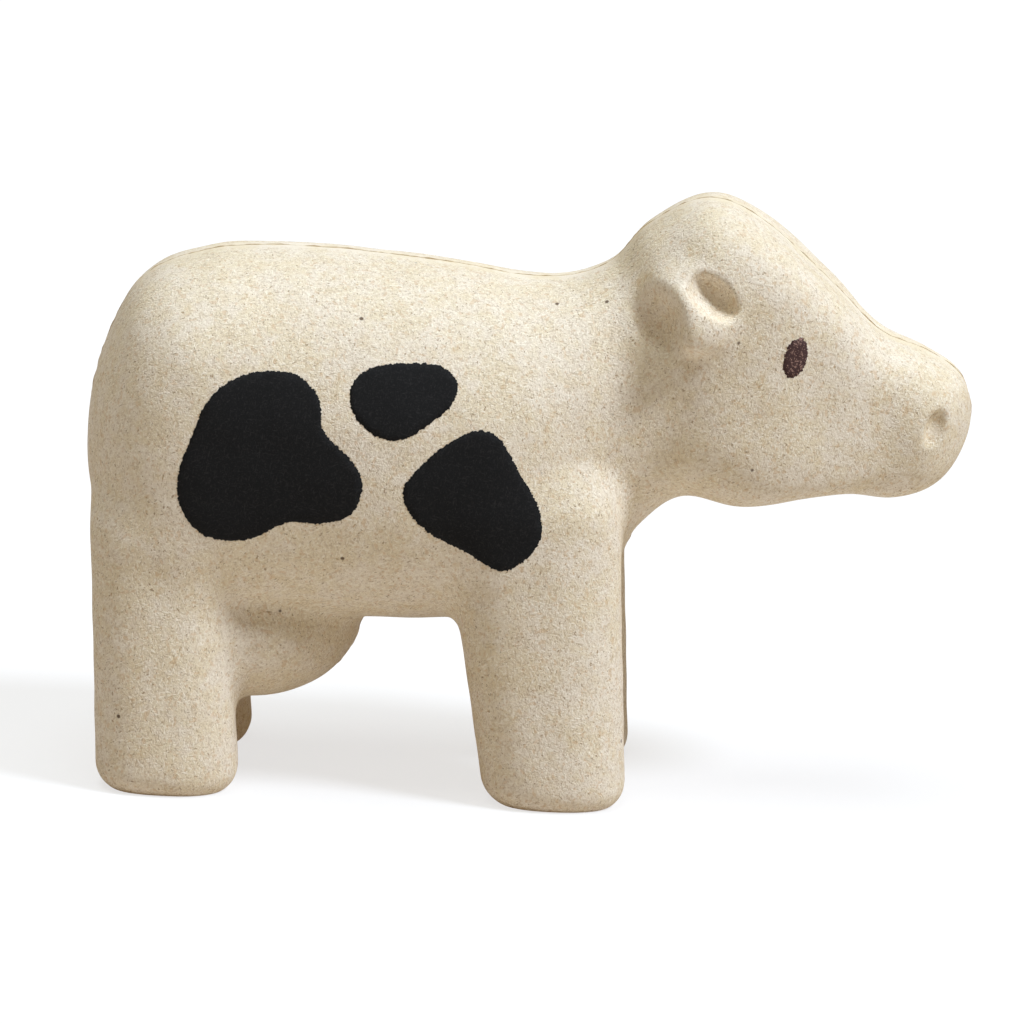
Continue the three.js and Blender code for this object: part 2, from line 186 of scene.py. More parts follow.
def at_station(x, values):
    """Smooth value at x between the stations of the cross sections."""
    slopes = np.gradient(values, STATIONS)
    at = np.clip(np.searchsorted(STATIONS, x) - 1, 0, len(STATIONS) - 2)
    run = STATIONS[at + 1] - STATIONS[at]
    share = (x - STATIONS[at]) / run
    return hermite(values[at], slopes[at] * run, values[at + 1], slopes[at + 1] * run, share)


def rounded_section(u, v, reach_u, reach_v, power):
    """Near distance to a rounded section with the given reaches."""
    a = np.abs(u / reach_u) ** power
    b = np.abs(v / reach_v) ** power
    whole = a + b
    mean_reach = (a * reach_u + b * reach_v) / (whole + np.finfo(float).tiny)
    reach = np.where(whole > 0, mean_reach, np.minimum(reach_u, reach_v))
    return (whole ** (1 / power) - 1) * reach


def trunk(x, y, z):
    """Near distance to the trunk and head."""
    edge = at_station(x, EDGES)
    from_rim = np.maximum(edge - depth_at(x, z), 0)
    return rounded_section(y, from_rim, at_station(x, HALF_WIDTHS), edge, at_station(x, FULLNESSES))


print("Trunk of", len(SECTIONS), "sections, at most", 2 * HALF_WIDTHS.max(), "mm wide")

# %% [markdown]
# ## Ellipsoids that join or hollow the body
# Clay pressed on clay leaves a soft fillet, and a thumb pressed into it leaves a hollow with a
# rounded rim. Two short formulas do both with distances. The udder and the ear are added this way.
# The cup of the ear, the fold behind it and the nostril are taken out. Each is an ellipsoid, turned
# in the side view. A lean shifts it sideways along its length, so a hollow can run out on one side.

# %% Ellipsoids and blends
UDDER = {"middle": (-31.3, 0.0, 17.6), "radii": (12.8, 12.5, 9.2), "turn": 0}
EAR = {"middle": (17.9, 11.6, 57.4), "radii": (5.0, 3.9, 4.2), "turn": 45, "lean": (0.36, -0.3)}
EAR_SCOOP = {"middle": (20.1, 14.4, 59.4), "radii": (3.8, 3.3, 2.1), "turn": 40}
EAR_FOLD = {"middle": (14.3, 13.4, 57.2), "radii": (2.6, 3.0, 4.8), "turn": -12, "lean": (0.9, 0.28)}
NOSTRIL = {"middle": (47.2, 11.0, 44.0), "radii": (3.1, 2.5, 2.7), "turn": -55, "lean": (0.12, -0.85)}
UPRIGHT = (0, 0)


def blend(a, b, reach):
    """Union of two distances with a fillet of the given reach."""
    share = np.clip(0.5 + 0.5 * (b - a) / reach, 0, 1)
    return b + (a - b) * share - reach * share * (1 - share)


def carve(a, b, reach):
    """The first distance hollowed by the second, with a rounded rim."""
    return -blend(-a, b, reach)


def mass(spec, x, y, z):
    """Near distance to an ellipsoid, turned in the side view and leaning to the side."""
    turn = math.radians(spec["turn"])
    radii = spec["radii"]
    lean = spec.get("lean", UPRIGHT)
    offset_x = x - spec["middle"][0]
    offset_z = z - spec["middle"][2]
    along = offset_x * math.cos(turn) - offset_z * math.sin(turn)
    across = offset_x * math.sin(turn) + offset_z * math.cos(turn)
    u = along / radii[0]
    v = (y - spec["middle"][1] - lean[0] * along - lean[1] * across) / radii[1]
    w = across / radii[2]
    reach = np.sqrt(u * u + v * v + w * w)
    slope = np.sqrt((u / radii[0]) ** 2 + (v / radii[1]) ** 2 + (w / radii[2]) ** 2)
    return reach * (reach - 1) / np.maximum(slope, np.finfo(float).eps)


print("Ear with radii of", EAR["radii"], "mm and a cup with radii of", EAR_SCOOP["radii"], "mm")

# %% [markdown]
# ## Legs
# Each leg is a post that changes a little from the foot to its joint with the trunk. Lofting two
# ovals would give such a post. Here one rounded section changes with the height, which also draws
# in a rounded foot below and a dome above, where the leg ends inside the trunk.

# %% Legs
LEG_JOINT = 30.0
# at the foot and at the joint: middle along the cow, half length, outer side
REAR_LEG = {"foot": (-39.15, 8.05, 17.4), "joint": (-40.8, 7.65, 16.6), "top": 37.0, "dome": 9.0}
FRONT_LEG = {"foot": (4.75, 7.95, 17.4), "joint": (1.3, 9.75, 17.2), "top": 41.5, "dome": 9.0}
LEG_INNER = 3.5
LEG_FULLNESS = 2.5
FOOT_ROUND = 3.2
FOOT_SANDED = 0.5
LEG_LEAST = FOOT_ROUND / 4


def quarter_round(radius, used):
    """How far a quarter round draws in once this much of its height is used up."""
    reach = np.clip(used, 0, radius)
    return radius - np.sqrt(radius * radius - reach * reach)


def leg(spec, x, y, z):
    """Near distance to a leg."""
    height = z / LEG_JOINT
    middle, half, outer = (a + (b - a) * height for a, b in zip(spec["foot"], spec["joint"]))
    drawn_in = quarter_round(FOOT_ROUND, FOOT_ROUND - FOOT_SANDED - z)
    drawn_in = drawn_in + quarter_round(spec["dome"], z - spec["top"] + spec["dome"])
    reach_x = np.maximum(half - drawn_in, LEG_LEAST)
    reach_y = np.maximum((outer - LEG_INNER) / 2 - drawn_in, LEG_LEAST)
    side = rounded_section(x - middle, y - (outer + LEG_INNER) / 2, reach_x, reach_y, LEG_FULLNESS)
    return np.maximum(side, z - spec["top"])


print("Feet", 2 * REAR_LEG["foot"][1], "and", 2 * FRONT_LEG["foot"][1], "mm long")

# %% [markdown]
# ## The whole cow
# Trunk, udder, legs and ear grow together without a seam, and then the hollows are taken out.
# Three slow waves of a few hundredths of a millimetre stand for the unevenness of hand sanding.
# The same sizes shaped the frame, so its points lie close to the surface of this formula.

# %% Distance to the whole cow
UDDER_BLEND = 2.0
LEG_BLEND = 3.0
EAR_BLEND = 2.0
FOLD_BLEND = 1.6
SCOOP_BLEND = 0.4
NOSTRIL_BLEND = 0.3
SANDING_HEIGHT = 0.02
SANDING_WAVES = [(0.9, 0.0, 0.5), (-0.6, 0.8, 0.0), (0.0, 0.7, 1.1)]
SLOPE_STEP = 0.05
CLEAR_OF_CUTS = 1.0


def sanding(x, y, z):
    """Slow waves that hand sanding leaves on the surface."""
    return SANDING_HEIGHT * sum(np.sin(a * x + b * y + c * z) for a, b, c in SANDING_WAVES)


def cow(x, y, z):
    """Distance to the surface of the left half, negative inside."""
    distance = blend(trunk(x, y, z), mass(UDDER, x, y, z), UDDER_BLEND)
    legs = np.minimum(leg(REAR_LEG, x, y, z), leg(FRONT_LEG, x, y, z))
    distance = blend(distance, legs, LEG_BLEND)
    distance = blend(distance, mass(EAR, x, y, z), EAR_BLEND)
    distance = carve(distance, mass(EAR_FOLD, x, y, z), FOLD_BLEND)
    distance = carve(distance, mass(EAR_SCOOP, x, y, z), SCOOP_BLEND)
    distance = carve(distance, mass(NOSTRIL, x, y, z), NOSTRIL_BLEND)
    return distance + sanding(x, y, z)


def slope_at(x, y, z):
    """Direction in which the distance grows, with its steepness."""
    return np.stack([
        cow(x + SLOPE_STEP, y, z) - cow(x - SLOPE_STEP, y, z),
        cow(x, y + SLOPE_STEP, z) - cow(x, y - SLOPE_STEP, z),
        cow(x, y, z + SLOPE_STEP) - cow(x, y, z - SLOPE_STEP),
    ], axis=-1) / (2 * SLOPE_STEP)


cad_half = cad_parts["body_half_left"].data
cad_points = np.array([vertex.co for vertex in cad_half.vertices]) / MM
outside = cad_points[(cad_points[:, 1] > CLEAR_OF_CUTS) & (cad_points[:, 2] > CLEAR_OF_CUTS)]
print("Typical distance from the frame in mm:", round(float(np.median(np.abs(cow(*outside.T)))), 3))

# %% [markdown]
# ## A lattice around the half
# The formula needs a mesh. Marching cubes would give one, with many thin triangles. Surface nets
# give even quads instead: a lattice of small cells fills the space around the half, and the first
# step finds every lattice edge with one end inside the cow and one outside.

# %% Lattice edges that the surface crosses
CELL = 0.42
SKIN_LOW = np.array([-51.5, -0.9, -1.1])
SKIN_HIGH = np.array([51.6, 21.0, 70.0])


def lattice_values():
    """Distance to the cow at every corner of the lattice."""
    axes = [np.arange(a, b, CELL) for a, b in zip(SKIN_LOW, SKIN_HIGH)]
    return cow(axes[0][:, None, None], axes[1][None, :, None], axes[2][None, None, :])


def lattice_crossings(values, axis):
    """Which edges along an axis are crossed, how far along, and which leave the cow."""
    last = values.shape[axis] - 1
    first = np.take(values, range(last), axis)
    second = np.take(values, range(1, last + 1), axis)
    crossed = (first < 0) != (second < 0)
    reached = np.where(crossed, first / np.where(crossed, first - second, 1), 0)
    return crossed, reached, first < 0


distances = lattice_values()
crossings = [lattice_crossings(distances, axis) for axis in range(3)]
crossing_count = sum(int(crossed.sum()) for crossed, *_ in crossings)
print("Lattice of", distances.shape, "corners with", crossing_count, "crossings")

# %% [markdown]
# ## A point in every crossed cell
# Every cell that the surface crosses will get one point, in the middle of the crossings on its
# edges. So each crossing is added to the four cells around its lattice edge, for the whole lattice
# at once. Going from cell to cell would do the same, but slowly.

# %% Cells that the surface crosses


def edge_window(cells, axis, shifts):
    """Slices that pick the lattice edges along an axis, seen from the cells beside them."""
    picked = [slice(shift, shift + size) for size, shift in zip(cells, shifts)]
    picked[axis] = slice(0, cells[axis])
    return tuple(picked)


def cell_sums(cells):
    """Sum of the places of the crossings on the edges of each cell, and their number."""
    total = np.zeros((*cells, 3))
    count = np.zeros(cells)
    for axis, (crossed, reached, _) in enumerate(crossings):
        others = [other for other in range(3) if other != axis]
        for bits in ((0, 0), (0, 1), (1, 0), (1, 1)):
            shifts = [0, 0, 0]
            shifts[others[0]], shifts[others[1]] = bits
            seen = edge_window(cells, axis, shifts)
            count += crossed[seen]
            total[..., axis] += reached[seen]
            for other, bit in zip(others, bits):
                total[..., other] += bit * crossed[seen]
    return total, count


place_sums, place_counts = cell_sums(np.array(distances.shape) - 1)
print("The surface passes through", int((place_counts > 0).sum()), "cells")

# %% [markdown]
# ## A skin of quads
# Every crossed lattice edge gets one quad, between the points of the four cells around it. The
# points then slide along the slope onto the exact surface. Remeshing a sculpture works in much the
# same way.

# %% Skin of the left half
SETTLE_ROUNDS = 3


def quads_across(axis, number):
    """Quads around the crossed edges along an axis, with their faces outwards."""
    crossed, _, leaving = crossings[axis]
    back, down = (axis + 1) % 3, (axis + 2) % 3
    at = np.argwhere(crossed)
    for side in (back, down):
        at = at[(at[:, side] > 0) & (at[:, side] < number.shape[side])]
    unit = np.eye(3, dtype=int)
    ring = [at, at - unit[back], at - unit[back] - unit[down], at - unit[down]]
    quad = np.stack([number[tuple(corner.T)] for corner in ring], axis=1)
    outward = leaving[tuple(at.T)]
    return np.where(outward[:, None], quad, quad[:, ::-1])


def wrap_surface():
    """Points and quads of the skin around the half."""
    full = place_counts > 0
    home = np.argwhere(full)
    number = np.full(full.shape, -1)
    number[full] = np.arange(len(home))
    points = SKIN_LOW + CELL * (home + place_sums[full] / place_counts[full][:, None])
    return points, np.concatenate([quads_across(axis, number) for axis in range(3)])


def settle(points):
    """Slides points along the slope onto the surface."""
    for _ in range(SETTLE_ROUNDS):
        x, y, z = points.T
        slope = slope_at(x, y, z)
        points = points - slope * (cow(x, y, z) / (slope * slope).sum(axis=1))[:, None]
    return points


skin_points, skin_quads = wrap_surface()
skin_points = settle(skin_points)
print("Skin of", len(skin_points), "points and", len(skin_quads), "quads")

# %% [markdown]
# ## A flat joint and flat soles
# The press shapes each half against a flat plate, so the joint face is truly flat and its rim is
# sharp. The soles of the feet are sanded level. Bisecting the skin with a plane and filling the cut
# gives both. The edges of the cut are marked sharp, so that the shading breaks there.

# %% Cut the left half
GLUE_THICKNESS = 0.2
WELD = 1e-7
ACROSS = 1
UP = 2


def link(name, mesh):
    """A new object in the scene that holds the mesh."""
    piece = bpy.data.objects.new(name, mesh)
    bpy.context.scene.collection.objects.link(piece)
    return piece


def cut_flat(bm, axis, level):
    """Cuts away what lies below a level of an axis and closes the cut with flat faces."""
    place = Vector((0, 0, 0))
    place[axis] = level
    normal = Vector((0, 0, 0))
    normal[axis] = -1
    everything = bm.verts[:] + bm.edges[:] + bm.faces[:]
    bmesh.ops.bisect_plane(
        bm, geom=everything, dist=WELD, plane_co=place, plane_no=normal, clear_outer=True,
    )
    rim = []
    for edge in bm.edges:
        if edge.is_boundary and all(abs(vertex.co[axis] - level) < 2 * WELD for vertex in edge.verts):
            edge.smooth = False
            rim.append(edge)
    return bmesh.ops.edgeloop_fill(bm, edges=rim)["faces"]


def make_left_half():
    """The left half without its sockets, and the rim of its joint."""
    mesh = bpy.data.meshes.new("wood_fibre_half_left")
    mesh.from_pydata(skin_points * MM, [], skin_quads)
    bm = bmesh.new()
    bm.from_mesh(mesh)
    for face in bm.faces:
        face.smooth = True
    soles = cut_flat(bm, UP, 0)
    joint = cut_flat(bm, ACROSS, GLUE_THICKNESS / 2 * MM)
    for face in soles + joint:
        face.smooth = False
    rim = np.array([vertex.co for vertex in joint[0].verts]) / MM
    bmesh.ops.recalc_face_normals(bm, faces=bm.faces)
    bm.to_mesh(mesh)
    bm.free()
    return link("wood_fibre_half_left", mesh), rim


left_half, joint_rim = make_left_half()
print("The left half has", len(left_half.data.polygons), "faces and a joint rim of", len(joint_rim), "points")

# %% [markdown]
# ## Sockets, and the other half
# Two dowels hold the halves in line, in sockets that are drilled a little wider and deeper than the
# dowels. A Boolean with a plain round bit does what the drill does. The right half is the left one
# mirrored, with its faces turned round again, because mirroring turns them inside out.

# %% Drill and mirror
DOWEL_DIAMETER = 6.0
DOWEL_LENGTH = 20.0
SOCKET_DIAMETER = DOWEL_DIAMETER + 0.2
SOCKET_DEPTH = DOWEL_LENGTH / 2 + 0.5
SOCKET_SIDES = 48
DOWELS = {"dowel_rump": (-36.0, 42.0), "dowel_shoulder": (2.0, 42.0)}


def mesh_from(bm, name):
    """Writes an edited mesh to a new mesh of that name."""
    mesh = bpy.data.meshes.new(name)
    bm.to_mesh(mesh)
    bm.free()
    return mesh


def finished_mesh(piece):
    """A plain mesh with the piece's modifiers applied."""
    return bpy.data.meshes.new_from_object(piece.evaluated_get(bpy.context.evaluated_depsgraph_get()))


def drill(piece, name):
    """Cuts a dowel's socket into the piece."""
    x, z = DOWELS[name]
    bm = bmesh.new()
    across_joint = Matrix.Translation((x * MM, 0, z * MM)) @ Matrix.Rotation(math.pi / 2, 4, "X")
    radius = SOCKET_DIAMETER / 2 * MM
    bmesh.ops.create_cone(
        bm, cap_ends=True, segments=SOCKET_SIDES, radius1=radius, radius2=radius,
        depth=2 * SOCKET_DEPTH * MM, matrix=across_joint,
    )
    bit = link(name + "_drill", mesh_from(bm, name + "_drill"))
    cut = piece.modifiers.new("socket", "BOOLEAN")
    cut.operation = "DIFFERENCE"
    cut.solver = "MANIFOLD"
    cut.object = bit
    drilled = finished_mesh(piece)
    piece.modifiers.remove(cut)
    piece.data = drilled
    bpy.data.objects.remove(bit)


def mirror(mesh, name):
    """Copy of a mesh for the other side of the cow."""
    copy = mesh.copy()
    copy.name = name
    copy.transform(Matrix.Diagonal((1, -1, 1, 1)))
    copy.flip_normals()
    return link(name, copy)


for name in DOWELS:
    drill(left_half, name)
right_half = mirror(left_half.data, "wood_fibre_half_right")
print("Each half with", len(DOWELS), "sockets has", len(right_half.data.polygons), "faces")

# %% [markdown]
# ## The glue line
# Glue fills the joint from rim to rim. Where the halves meet it shows as a thin line, mostly a
# little proud, because the glue that was squeezed out was sanded by hand and not cut flush. A
# slow noise moves its edge in and out. A filled outline with two round holes for the dowels,
# extruded across the joint, is all it needs.

# %% Glue between the halves
GLUE_PROUD = 0.075
GLUE_WANDER = 0.13


def sideways(loop):
    """Unit directions across a closed loop."""
    run = np.roll(loop, -1, axis=0) - np.roll(loop, 1, axis=0)
    return np.stack([-run[:, 1], run[:, 0]], axis=1) / np.linalg.norm(run, axis=1)[:, None]


def glue_edge():
    """Rim of the joint in the side view, moved in and out a little."""
    flat = joint_rim[:, [0, 2]]
    turning = np.sum(flat[:, 0] * np.roll(flat[:, 1], -1) - flat[:, 1] * np.roll(flat[:, 0], -1))
    sunk = [GLUE_WANDER * noise.noise(Vector((x, 0, z))) - GLUE_PROUD for x, z in flat]
    return flat + sideways(flat) * math.copysign(1, turning) * np.array(sunk)[:, None]


def make_glue():
    """The layer of glue, with a hole for each dowel."""
    angles = np.arange(SOCKET_SIDES) * 2 * math.pi / SOCKET_SIDES
    circle = np.stack([np.cos(angles), np.sin(angles)], axis=1) * SOCKET_DIAMETER / 2
    bm = bmesh.new()
    for loop in (glue_edge(), *(circle + place for place in DOWELS.values())):
        ring = [bm.verts.new(Vector((x, -GLUE_THICKNESS / 2, z)) * MM) for x, z in loop]
        for a, b in zip(ring, ring[1:] + ring[:1]):
            bm.edges.new((a, b))
    bmesh.ops.triangle_fill(bm, use_beauty=True, use_dissolve=False, edges=bm.edges)
    grown = bmesh.ops.extrude_face_region(bm, geom=bm.faces[:], use_keep_orig=True)
    far_side = [part for part in grown["geom"] if isinstance(part, bmesh.types.BMVert)]
    bmesh.ops.translate(bm, vec=(0, GLUE_THICKNESS * MM, 0), verts=far_side)
    bmesh.ops.recalc_face_normals(bm, faces=bm.faces)
    return link("glue_line", mesh_from(bm, "glue_line"))


glue_line = make_glue()
print("Glue line of", len(glue_line.data.polygons), "faces")

# %% [markdown]
# ## Fluted dowels
# A dowel pin has straight flutes that let air and glue escape from its socket, and a chamfer at
# each end that finds the hole. Geometry Nodes suit it: one circle with a rippled radius is swept
# along a short line whose radius narrows at its ends. The tree starts with its named inputs, so
# its sizes stay open to a change.

# %% Inputs of the dowel's node tree
FLUTES = 14
FLUTE_DEPTH = 0.25
CHAMFER = 0.8
DOWEL_INPUTS = {
    "Radius": "NodeSocketFloat", "Length": "NodeSocketFloat", "Chamfer": "NodeSocketFloat",
    "Flutes": "NodeSocketInt", "Flute Depth": "NodeSocketFloat", "Material": "NodeSocketMaterial",
}


def make_dowel_tree():
    """An empty node tree with the sizes of a dowel as inputs."""
    tree = bpy.data.node_groups.new("Fluted dowel", "GeometryNodeTree")
    for name, kind in DOWEL_INPUTS.items():
        tree.interface.new_socket(name, in_out="INPUT", socket_type=kind)
    tree.interface.new_socket("Dowel", in_out="OUTPUT", socket_type="NodeSocketGeometry")
    return tree


def feed(tree, value, socket):
    """Links an output to a socket, or writes a plain value on it."""
    if isinstance(value, bpy.types.NodeSocket):
        tree.links.new(value, socket)
    else:
        socket.default_value = value


def add_node(tree, kind, inputs, **settings):
    """A new node with its settings, and with some of its inputs fed."""
    node = tree.nodes.new(kind)
    for name, value in settings.items():
        setattr(node, name, value)
    for name, value in inputs.items():
        feed(tree, value, node.inputs[name])
    return node


def math_node(tree, operation, *values):
    """Result of a Math node on links or plain values."""
    return add_node(tree, "ShaderNodeMath", dict(enumerate(values)), operation=operation).outputs["Value"]


dowel_tree = make_dowel_tree()
print("Inputs of the dowel:", list(DOWEL_INPUTS))

# %% [markdown]
# ## Circle and line
# On a real pin the flutes are pressed in and the ends are turned. Here the flutes are in the circle
# and the ends are in the line. The circle has eight points for each flute, and a cosine draws it in
# between the ridges. The line has points close together, so that its chamfer is a clean slope.

# %% Fluted circle and chamfered line
POINTS_PER_FLUTE = 8
LINE_STEP = 0.5
CHAMFER_SLOPE = 0.7


def fluted_circle(tree, given):
    """Circle of radius 1 whose edge dips at every flute."""
    points = math_node(tree, "MULTIPLY", given["Flutes"], POINTS_PER_FLUTE)
    circle = add_node(tree, "GeometryNodeCurvePrimitiveCircle", {"Resolution": points, "Radius": 1.0})
    round_share = tree.nodes.new("GeometryNodeSplineParameter").outputs["Factor"]
    turn = math_node(tree, "MULTIPLY", round_share, 2 * math.pi)
    wave = math_node(tree, "COSINE", math_node(tree, "MULTIPLY", turn, given["Flutes"]))
    # the wave runs from -1 to 1, and the edge drops by 1 to 0 times the depth
    lowered = math_node(tree, "MULTIPLY_ADD", wave, 0.5, -0.5)
    depth = math_node(tree, "DIVIDE", given["Flute Depth"], given["Radius"])
    radius = math_node(tree, "ADD", math_node(tree, "MULTIPLY", lowered, depth), 1.0)
    place = tree.nodes.new("GeometryNodeInputPosition").outputs["Position"]
    moved = add_node(tree, "ShaderNodeVectorMath", {0: place, "Scale": radius}, operation="SCALE")
    rippled = {"Geometry": circle.outputs["Curve"], "Position": moved.outputs["Vector"]}
    return add_node(tree, "GeometryNodeSetPosition", rippled).outputs["Geometry"]


def chamfered_line(tree, given):
    """Line along the dowel whose radius narrows at both ends."""
    half = math_node(tree, "MULTIPLY", given["Length"], 0.5)
    ends = {}
    for name, sign in (("Start", -1), ("End", 1)):
        reach = math_node(tree, "MULTIPLY", half, sign)
        ends[name] = add_node(tree, "ShaderNodeCombineXYZ", {"Y": reach}).outputs["Vector"]
    line = add_node(tree, "GeometryNodeCurvePrimitiveLine", ends)
    step = math_node(tree, "MULTIPLY", given["Chamfer"], LINE_STEP)
    count = math_node(tree, "DIVIDE", given["Length"], step)
    spaced = add_node(tree, "GeometryNodeResampleCurve", {"Curve": line.outputs["Curve"], "Count": count})
    reached = tree.nodes.new("GeometryNodeSplineParameter").outputs["Length"]
    to_end = math_node(tree, "MINIMUM", reached, math_node(tree, "SUBTRACT", given["Length"], reached))
    lost = math_node(tree, "MAXIMUM", math_node(tree, "SUBTRACT", given["Chamfer"], to_end), 0.0)
    radius = math_node(tree, "SUBTRACT", given["Radius"], math_node(tree, "MULTIPLY", lost, CHAMFER_SLOPE))
    narrowed = {"Curve": spaced.outputs["Curve"], "Radius": radius}
    return add_node(tree, "GeometryNodeSetCurveRadius", narrowed).outputs["Curve"]


print("Circle of", FLUTES * POINTS_PER_FLUTE, "points, swept in steps of about", CHAMFER * LINE_STEP, "mm")

# %% [markdown]
# ## Sweep the dowels
# Curve to Mesh carries the circle along the line and closes the ends. Realize Instances and Set
# Material come last. Each dowel then becomes a plain mesh, as the other pieces are, and is moved
# to its sockets.

# %% Dowels from the node tree


def fill_dowel_tree(tree):
    """Sweeps the circle along the line and gives the dowel its material."""
    given = tree.nodes.new("NodeGroupInput").outputs
    sweep = add_node(tree, "GeometryNodeCurveToMesh", {
        "Curve": chamfered_line(tree, given),
        "Profile Curve": fluted_circle(tree, given),
        "Scale": tree.nodes.new("GeometryNodeInputRadius").outputs["Radius"],
        "Fill Caps": True,
    })
    real = add_node(tree, "GeometryNodeRealizeInstances", {"Geometry": sweep.outputs["Mesh"]})
    finish = {"Geometry": real.outputs["Geometry"], "Material": given["Material"]}
    painted = add_node(tree, "GeometryNodeSetMaterial", finish)
    add_node(tree, "NodeGroupOutput", {"Dowel": painted.outputs["Geometry"]})


def make_dowel(name, settings):
    """A dowel as a plain mesh, in its place."""
    piece = link(name + "_fluted", bpy.data.meshes.new(name + "_fluted"))
    nodes = piece.modifiers.new("dowel", "NODES")
    nodes.node_group = dowel_tree
    for item in dowel_tree.interface.items_tree:
        if item.in_out == "INPUT":
            nodes[item.identifier] = settings[item.name]
    mesh = finished_mesh(piece)
    piece.modifiers.remove(nodes)
    x, z = DOWELS[name]
    mesh.transform(Matrix.Translation((x * MM, 0, z * MM)))
    piece.data = mesh
    return piece


fill_dowel_tree(dowel_tree)
dowel_wood = bpy.data.materials.new("Dowel wood")
dowel_settings = {
    "Radius": DOWEL_DIAMETER / 2 * MM, "Length": DOWEL_LENGTH * MM, "Chamfer": CHAMFER * MM,
    "Flutes": FLUTES, "Flute Depth": FLUTE_DEPTH * MM, "Material": dowel_wood,
}
dowels = {name: make_dowel(name, dowel_settings) for name in DOWELS}
print("Dowels of", [len(piece.data.polygons) for piece in dowels.values()], "faces")

# %% [markdown]
# ## Outlines of the printed marks
# Three patches and an eye are stamped on each side with matte paint. On coarse fibre a stamp leaves
# a ragged border, because the paint catches on some fibres and misses others. So each outline is a
# smooth curve through a few points, and a fine and a coarse noise push its border in and out.

# %% Ragged outlines
BORDER_SPACING = 0.07
BORDER_RAGGED = 0.15
EYE_RAGGED = 0.17
FINE_TEETH = 7.5
FINE_PLANE = 3.0
COARSE_TEETH = 2.0
COARSE_PLANE = 7.0
COARSE_SHARE = 0.8
PATCHES = {
    "patch_rear": [
        (-29.1, 49.5), (-25.3, 49.2), (-22.9, 47.1), (-22.0, 43.2), (-18.9, 40.2), (-17.6, 37.5),
        (-18.9, 34.0), (-22.0, 32.8), (-25.9, 32.7), (-30.3, 30.5), (-35.2, 30.9), (-37.9, 34.3),
        (-38.0, 38.2), (-36.7, 42.1), (-35.1, 46.0), (-32.7, 48.3),
    ],
    "patch_saddle": [
        (-19.2, 48.4), (-17.5, 50.1), (-13.1, 50.8), (-9.3, 50.5), (-7.6, 49.0), (-8.0, 46.8),
        (-10.9, 44.2), (-13.6, 42.7), (-16.4, 43.1), (-19.0, 45.6),
    ],
    "patch_shoulder": [
        (-5.0, 44.0), (-3.0, 43.3), (-0.3, 39.1), (2.2, 34.2), (1.8, 30.8), (-1.8, 27.9),
        (-5.5, 29.6), (-10.2, 32.2), (-12.5, 34.7), (-13.1, 37.2), (-10.4, 40.7), (-7.4, 43.0),
    ],
}
EYE = {"middle": (29.65, 52.4), "half_length": 2.3, "half_width": 1.25, "turn": 78}
EYE_POINTS = 12


def eye_outline():
    """Points of the turned oval of the eye."""
    turn = math.radians(EYE["turn"])
    points = []
    for angle in np.arange(EYE_POINTS) * 2 * math.pi / EYE_POINTS:
        u = EYE["half_length"] * math.cos(angle)
        v = EYE["half_width"] * math.sin(angle)
        points.append((
            EYE["middle"][0] + u * math.cos(turn) - v * math.sin(turn),
            EYE["middle"][1] + u * math.sin(turn) + v * math.cos(turn),
        ))
    return points


def ragged_loop(points, amount):
    """Outline of a mark with the noise of a stamp on fibre."""
    loop = smooth_loop(points, BORDER_SPACING)
    fine = [noise.noise(Vector((x, FINE_PLANE, z)) * FINE_TEETH) for x, z in loop]
    coarse = [noise.noise(Vector((x, COARSE_PLANE, z)) * COARSE_TEETH) for x, z in loop]
    return loop + sideways(loop) * (amount * (np.array(fine) + COARSE_SHARE * np.array(coarse)))[:, None]


mark_loops = {name: ragged_loop(points, BORDER_RAGGED) for name, points in PATCHES.items()}
mark_loops["eye"] = ragged_loop(eye_outline(), EYE_RAGGED)
print("Outlines of", {name: len(loop) for name, loop in mark_loops.items()}, "points")

# %% [markdown]
# ## Paint as a thin film
# The paint is a film of a few hundredths of a millimetre, thinner at its border. A texture on the
# body could draw the marks too, but a film is a piece of its own that someone can repaint. Its
# outline is filled with triangles, and every point is dropped onto the side of the body. Halving
# the stretch in which the side has to lie, again and again, finds it.

# %% Spots of a film
FILM_SPACING = 0.7
SIDE_REACH = (6.0, 24.0)
SIDE_ROUNDS = 40


def side_surface(x, z):
    """Reach of the left side at spots of the side view."""
    near = np.full(x.shape, SIDE_REACH[0])
    far = np.full(x.shape, SIDE_REACH[1])
    for _ in range(SIDE_ROUNDS):
        middle = (near + far) / 2
        inside = cow(x, middle, z) < 0
        near = np.where(inside, middle, near)
        far = np.where(inside, far, middle)
    return near


def film_spots(loop):
    """Spots on and inside an outline, and the triangles between them."""
    low, high = loop.min(axis=0), loop.max(axis=0)
    columns, rows = (np.arange(a, b, FILM_SPACING) for a, b in zip(low, high))
    grid = np.stack(np.meshgrid(columns, rows), axis=-1).reshape(-1, 2)
    grid = grid[depth_in_loop(loop, grid[:, 0], grid[:, 1]) > FILM_SPACING / 2]
    border = [(i, (i + 1) % len(loop)) for i in range(len(loop))]
    spots = [Vector(spot) for spot in np.concatenate([loop, grid])]
    spots, _, triangles, *_ = geometry.delaunay_2d_cdt(spots, border, [], 1, WELD)
    return np.array(spots), triangles


eye_side = side_surface(*np.array(EYE["middle"])[:, None])
print("The side at the eye is", np.round(eye_side, 1), "mm from the middle")

# %% [markdown]
# ## Films on both sides
# A film has an inner side, an outer side and a rim that closes it. It stands a hair off the body,
# so that the two surfaces don't mix in the render. The films of the right side are mirrored.

# %% Paint films on both sides
FILM_THICKNESS = 0.06
FILM_LIFT = 0.012
FILM_RIM_SHARE = 0.35
FILM_FADE = 0.4


